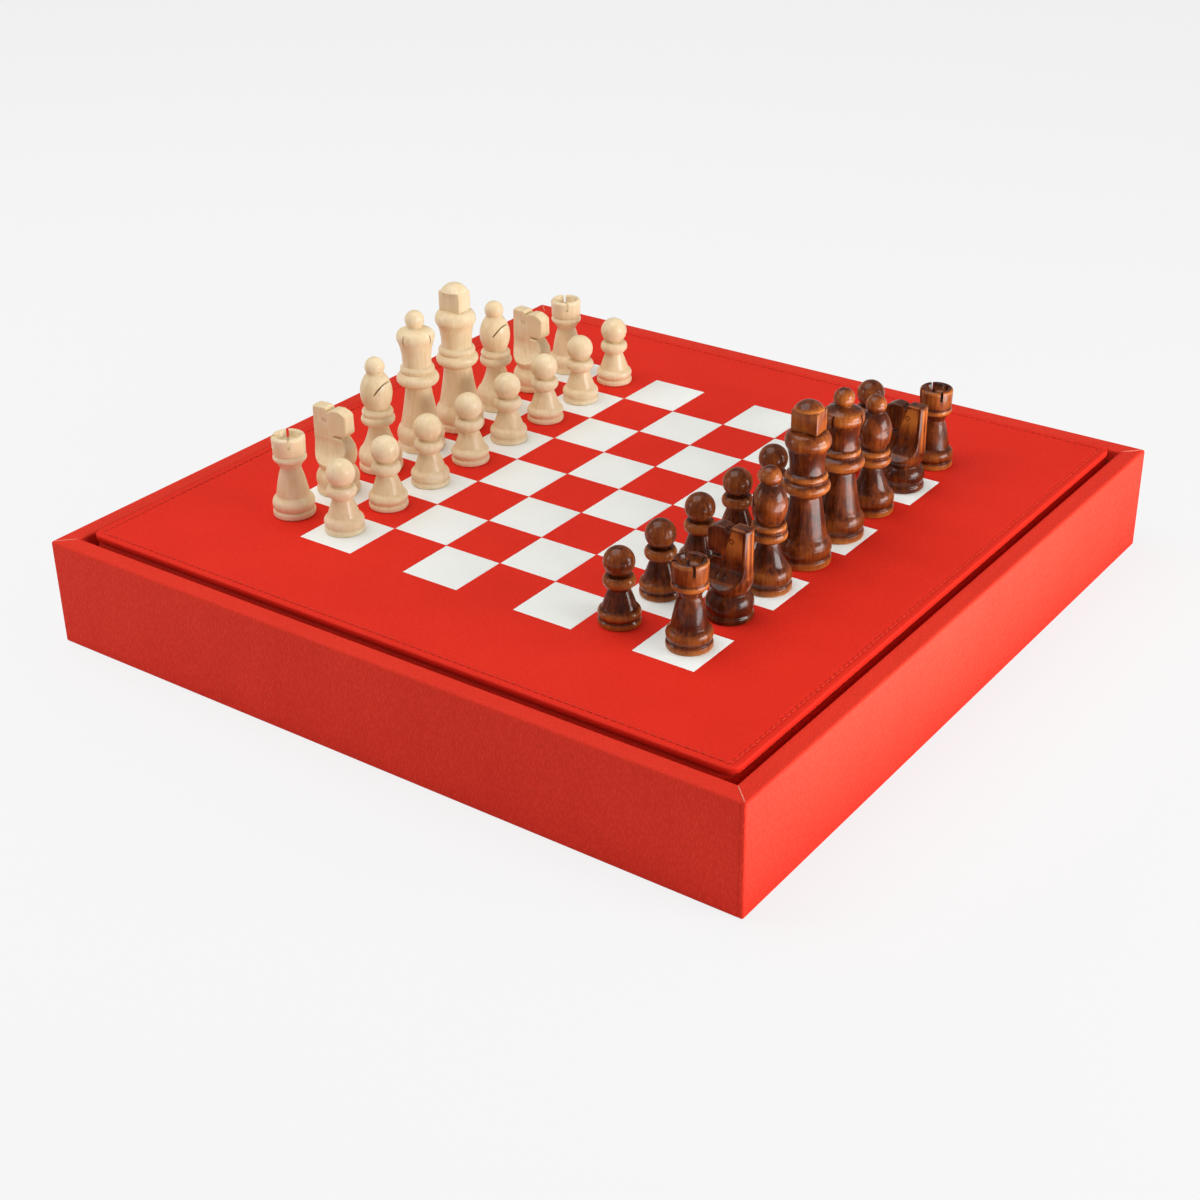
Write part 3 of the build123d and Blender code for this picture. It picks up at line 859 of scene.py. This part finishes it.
def turned(name, outline, segments=64):
    """Closed mesh of an outline carried round the Z axis, in metres, with its ridge values."""
    line = worn(outline)
    stands_out = 0
    for steps, proud, share in ((8, 0.35, 0.7), (24, 0.9, 0.6)):
        padded = np.pad(line[:, 0], steps, mode="edge")
        window = 2 * steps + 1
        around = np.convolve(padded, np.ones(window) / window, mode="valid")
        stands_out = stands_out + share * np.clip((line[:, 0] - around) / proud, 0, 1)
    numbers = needed_points(line)
    points, ridges = [], []
    for number in numbers[1:-1]:
        radius, height = line[number] * MM
        for k in range(segments):
            angle = math.tau * k / segments
            points.append((radius * math.cos(angle), radius * math.sin(angle), height))
            ridges.append(stands_out[number])
    rows = len(numbers) - 2
    faces = woven_faces(rows, segments, False, True)
    for pole, row, turn_back in ((line[0], 0, True), (line[-1], rows - 1, False)):
        points.append((0, 0, pole[1] * MM))
        ridges.append(0)
        for k in range(segments):
            n = (k + 1) % segments
            a, b = row * segments + k, row * segments + n
            faces.append((b, a, len(points) - 1) if turn_back else (a, b, len(points) - 1))
    mesh = mesh_of(name, points, faces)
    values = mesh.attributes.new("ridge", "FLOAT", "POINT")
    values.data.foreach_set("value", np.array(ridges, np.float32))
    return mesh


def cut(mesh, tool, operation="DIFFERENCE"):
    """Cut a mesh with another one, or join it to it."""
    body = bpy.data.objects.new("body", mesh)
    blade = bpy.data.objects.new("blade", tool)
    scene_objects.link(body)
    scene_objects.link(blade)
    modifier = body.modifiers.new("cut", "BOOLEAN")
    modifier.object, modifier.operation, modifier.solver = blade, operation, "EXACT"
    result = mesh_with_modifiers(body)
    bpy.data.objects.remove(blade)
    return result


def block(size, middle, turn=(0, 0, 0), rounding=0.0):
    """Box in millimetres, turned by degrees about its own middle."""
    made = bmesh.new()
    bmesh.ops.create_cube(made, size=1.0)
    for vertex in made.verts:
        vertex.co = [c * s for c, s in zip(vertex.co, size)]
    if rounding:
        bmesh.ops.bevel(made, geom=made.edges[:], offset=rounding, segments=3, affect="EDGES", profile=0.5)
    spin = Matrix.Identity(4)
    for angle, axis in zip(turn, "XYZ"):
        spin = Matrix.Rotation(math.radians(angle), 4, axis) @ spin
    made.transform(Matrix.Scale(MM, 4) @ Matrix.Translation(middle) @ spin)
    return mesh_from(made, "block")


# %% [markdown]
# Pawn, rook, bishop, queen and king follow, each as its outline and then its saw cuts. The
# bishop's one cut slopes down towards his middle and faces the other army. The rook gets
# two cuts right across its cup, which leave four slots, and the queen has short nicks round
# her coronet. The king ends in a squared block, sawn and eased, under a domed cap.

# %% Turned men
def make_pawn():
    """Foot, waist, one ring and a ball."""
    neck = foot_line(10.0, 2.4, (8.7, 8.0), (8.0, 8.7), (6.5, 13.2), (4.9, 17.4))
    outline = neck + ring_line((6.8, 19.2), (7.6, 21.6), (6.2, 24.2)) + ball_line((6.2, 24.2), 7.3, 38.0)
    return turned("pawn", outline)


def make_rook():
    """Foot, waist, ring and a drum with a sawn cup."""
    top, drum, cup = 42.8, 8.5, 5.8
    outline = foot_line(10.7, 2.8, (9.4, 9.6), (8.4, 10.6), (7.2, 17.6), (5.1, 25.4))
    outline += ring_line((7.0, 29.0), (8.5, 31.0), (7.6, 32.8))
    outline += [(drum - 0.3, 33.4), (drum, top - 1.4)]
    outline += arc((drum, top - 1.4), (drum - 0.6, top - 0.3), (drum - 1.6, top), 6)
    outline += [(cup, top - 0.3), (cup - 1.0, top - 3.6), (cup - 2.4, top - 4.6), (0, top - 4.8)]
    mesh = turned("rook", outline)
    for turn_by in (45, 135):
        mesh = cut(mesh, block((26, 1.3, 10), (0, 0, top), (0, 0, turn_by)))
    return mesh


def make_bishop():
    """Foot, waist, two rings and a cleft mitre under a ball."""
    top = 61.6
    outline = foot_line(11.5, 3.0, (9.6, 12.0), (8.9, 12.9), (6.6, 18.2), (5.0, 24.2))
    outline += ring_line((7.4, 25.4), (8.9, 27.8), (7.8, 30.2))
    outline += ring_line((7.8, 30.4), (8.2, 31.6), (5.9, 34.0))
    mitre_top = (4.3, top - 8.4)
    outline += arc((5.9, 34.0), (8.4, 42.6), mitre_top, 24) + ball_line(mitre_top, 5.2, top)
    return cut(turned("bishop", outline), block((9.0, 26, 0.8), (6.0, 0, top - 14.2), (0, -60, 0)))


def make_queen():
    """Foot, waist, two rings and a nicked coronet under a ball."""
    top = 76.6
    outline = foot_line(12.7, 3.2, (11.0, 12.8), (10.4, 13.8), (8.6, 23.0), (6.7, 34.6))
    outline += ring_line((9.6, 36.4), (11.3, 39.2), (9.4, 42.4))
    outline += ring_line((8.6, 43.0), (9.2, 44.8), (7.7, 46.8))
    coronet = (9.2, top - 17.4)
    outline += arc((7.7, 46.8), (7.9, 53.0), coronet, 12)
    crown = (8.8, coronet[1] + 6.4)
    outline += ring_line((9.6, coronet[1] + 0.8), (10.2, coronet[1] + 3.4), crown)
    dome = (3.8, top - 8.8)
    outline += arc(crown, (5.8, crown[1] + 1.4), dome, 8) + ball_line(dome, 5.1, top)
    mesh = turned("queen", outline)
    nick_distance = 10.6
    for degrees in (0, 90, 180, 270):
        angle = math.radians(degrees)
        nick = (nick_distance * math.cos(angle), nick_distance * math.sin(angle), coronet[1] + 3.6)
        mesh = cut(mesh, block((3.0, 0.8, 9.0), nick, (0, 0, degrees)))
    return mesh


def make_king():
    """Foot, waist, two rings, a bell and a squared block under a cap."""
    top, block_bottom = 82.0, 67.0
    outline = foot_line(13.2, 3.4, (11.4, 13.4), (10.8, 14.4), (9.0, 24.0), (7.4, 35.0))
    outline += ring_line((9.8, 36.8), (11.4, 39.6), (9.8, 42.4))
    outline += ring_line((9.4, 42.8), (10.0, 44.4), (8.3, 46.8))
    outline += arc((8.3, 46.8), (8.5, 53.0), (9.6, 58.4), 12)
    outline += ring_line((10.2, 59.4), (11.0, 62.2), (8.4, 66.8))
    cap = (7.2, top - 4.2)
    outline += [(5.0, block_bottom + 0.4), (5.0, cap[1])] + dome_line(cap, top)
    head = block((13.8, 10.2, cap[1] - block_bottom + 0.2), (0, 0, (block_bottom + cap[1]) / 2), rounding=0.7)
    return cut(turned("king", outline), head, "UNION")


# %% [markdown]
# The knight is not carved from a block: it starts as the same round blank, turned with a
# foot and a waist. A saw takes both cheeks off, a second pass shapes crown, nose, mouth and
# chest, and a punch and a gouge add eyes and mane. The same order of cuts gives its shape
# here. Remeshing it into small even faces and easing them rounds all the sawn edges at
# once, as the tumbling drum does.

# %% Knight
def prism(outline, along, half):
    """Outline in millimetres, of (x or y, z) points, made thick along Y or along X."""
    count = len(outline)
    points = []
    for side in (-half, half):
        for across, height in outline:
            points.append((across, side, height) if along == "Y" else (side, across, height))
    faces = woven_faces(2, count, False, True)
    faces += [tuple(reversed(range(count))), tuple(range(count, 2 * count))]
    made = bmesh.new()
    made.from_mesh(mesh_of("outline", np.array(points) * MM, faces))
    bmesh.ops.recalc_face_normals(made, faces=made.faces)
    return mesh_from(made, "prism")


def egg(size, middle, lean):
    """Stretched ball in millimetres, leant about X and then about Y, in degrees."""
    made = bmesh.new()
    bmesh.ops.create_uvsphere(made, u_segments=20, v_segments=14, radius=1.0)
    leant = Matrix.Rotation(math.radians(lean[1]), 4, "Y") @ Matrix.Rotation(math.radians(lean[0]), 4, "X")
    made.transform(Matrix.Scale(MM, 4) @ Matrix.Translation(middle) @ leant @ Matrix.Diagonal((*size, 1)))
    return mesh_from(made, "egg")


def eased(mesh, voxel=0.3):
    """Remesh into small even faces and round the edges."""
    body = bpy.data.objects.new("body", mesh)
    scene_objects.link(body)
    remesh = body.modifiers.new("even", "REMESH")
    remesh.mode, remesh.voxel_size = "VOXEL", voxel * MM
    ease = body.modifiers.new("ease", "SMOOTH")
    ease.factor, ease.iterations = 0.5, 16
    lighter = body.modifiers.new("lighter", "DECIMATE")
    lighter.ratio = 0.4
    return mesh_with_modifiers(body)


def mark_ridges(mesh, passes=2):
    """Give a mesh ridge values by how far each point stands out from its neighbours."""
    made = bmesh.new()
    made.from_mesh(mesh)
    made.verts.ensure_lookup_table()
    least, full = 0.012 * MM, 0.06 * MM
    values = []
    for vertex in made.verts:
        around = [edge.other_vert(vertex).co for edge in vertex.link_edges]
        middle = sum(around, Vector()) / len(around)
        proud = (vertex.co - middle).dot(vertex.normal)
        values.append(max(0, proud - least) / full)
    for _ in range(passes):
        spread = []
        for vertex in made.verts:
            around = [values[edge.other_vert(vertex).index] for edge in vertex.link_edges]
            spread.append(0.5 * values[vertex.index] + 0.5 * sum(around) / len(around))
        values = spread
    made.free()
    attribute = mesh.attributes.get("ridge") or mesh.attributes.new("ridge", "FLOAT", "POINT")
    attribute.data.foreach_set("value", np.clip(np.array(values, np.float32), 0, 1))
    return mesh


def turned_plug(radius, length):
    """Short round bar about Z, in millimetres."""
    made = bmesh.new()
    size = {"radius1": radius * MM, "radius2": radius * MM, "depth": length * MM}
    bmesh.ops.create_cone(made, cap_ends=True, segments=28, **size)
    return mesh_from(made, "plug")


def make_knight():
    """Turned blank, sawn to a horse's head that faces along X."""
    top, blank = 46.0, 10.8
    foot, groove, waist, chest = 11.2, (10.3, 3.7), (8.3, 13.2), (blank, 21.0)
    outline = [(0, 0), (foot - 0.5, 0), (foot, 0.5), (foot, 2.6), groove]
    outline += arc(groove, (foot, 7.2), waist, 14) + arc(waist, (10.1, 16.8), chest, 10)
    outline += [(blank, top - 0.6), (blank - 0.6, top), (0, top)]
    mesh = turned("knight", outline, 96)
    cheek = [(3.5, top + 1), (4.2, 30.0)] + arc((4.2, 30.0), (6.2, 21.0), (blank + 2, 15.4), 14)
    cheek += [(blank + 2, top + 1)]
    for side in (1, -1):
        mesh = cut(mesh, prism([(side * y, z) for y, z in cheek], "X", 14))
    front = [(-2.6, top + 1), (-1.0, 43.2), (1.2, 45.2), (5.4, 45.5), (9.2, 43.8), (11.2, 42.0)]
    front += [(11.2, 34.6), (9.0, 31.8)]
    front += [(2.4, 31.7), (2.2, 31.2), (2.6, 30.7), (6.4, 30.4)]
    front += arc((6.4, 30.4), (9.4, 26.6), (11.2, 20.6), 10)
    front += [(13, 20.6), (13, top + 1)]
    mesh = cut(mesh, prism(front, "Y", 14))
    for side in (1, -1):
        for x in (-1.6, 2.2):
            mesh = cut(mesh, egg((0.7, 1.1, 4.8), (x, side * 5.2, 25.4), (side * 12, -16)))
    mesh = eased(mesh)
    for side in (1, -1):
        eye = Matrix.Translation(Vector((-2.8, side * 3.9, 39.4)) * MM)
        ring = cut(turned_plug(1.35, 1.0), turned_plug(0.7, 1.4))
        ring.transform(eye @ Matrix.Rotation(math.pi / 2, 4, "X"))
        mesh = cut(mesh, ring)
    return mark_ridges(mesh)


men = {
    "pawn": make_pawn(),
    "rook": make_rook(),
    "knight": make_knight(),
    "bishop": make_bishop(),
    "queen": make_queen(),
    "king": make_king(),
}
print("men", {kind: len(mesh.polygons) for kind, mesh in men.items()})

# %% [markdown]
# Each man is set on his own place, which comes from the model's piece of the same name, and
# turned towards the other army. A turn about his axis by a few degrees, from a fixed list of
# chances, keeps the grain and the cuts from lining up like print.

# %% Set out the men
chance = np.random.default_rng(7)
for name in frame["nodes"]:
    army, _, kind = name.partition("_")
    kind = kind.split("_")[0]
    if kind not in men:
        continue
    low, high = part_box(name)
    mesh = men[kind].copy()
    mesh.name = name
    half_turn = 0 if army == "light" else 180
    most = 4 if kind == "knight" else 6
    twist = chance.uniform(-most, most)
    turn_by = Matrix.Rotation(math.radians(half_turn + twist), 4, "Z")
    mesh.transform(Matrix.Translation(((low.x + high.x) / 2, (low.y + high.y) / 2, low.z)) @ turn_by)
    wood, slot = (pale_wood, "pale_wood") if army == "light" else (stained_wood, "stained_wood")
    finish_piece(f"wooden_{name}", mesh, wood, name, slot, name, angle=42)

# %% [markdown]
# The pieces that stay as the model has them get their materials by slot: black suede inside
# the stores and under the lid, bare fibreboard for the cores, a dark red filler in the groove
# as painted shade, and the same leather under the base.

# %% Linings, cores and base
# Split suede, acid dyed black, and raw medium density board. The filler in the groove is painted dark red as
# the groove's shade.
lining = simple_material("black_suede", "#2B2624", 0.95, 0.4, 0.08)
fibreboard = simple_material("bare_fibreboard", "#9C7A55", 0.85, 0.5, 0.03)
# Painted shade: the groove between the lid's panel and band gets a dark red for its shade.
groove_paper = simple_material("groove_painted_shade", "#5A0F0B", 0.8, 0.8, 0.02)
by_slot = {
    "red_leather": wall_red,
    "white_leather": white_leather,
    "lining_suede": lining,
    "fibreboard": fibreboard,
    "groove_paper": groove_paper,
    "pale_wood": pale_wood,
    "stained_wood": stained_wood,
}
for entry in frame["record"]["subparts"]:
    shown = frame["nodes"][entry["node"]]
    shown.data.materials.clear()
    shown.data.materials.append(by_slot[entry["material_slot"]])
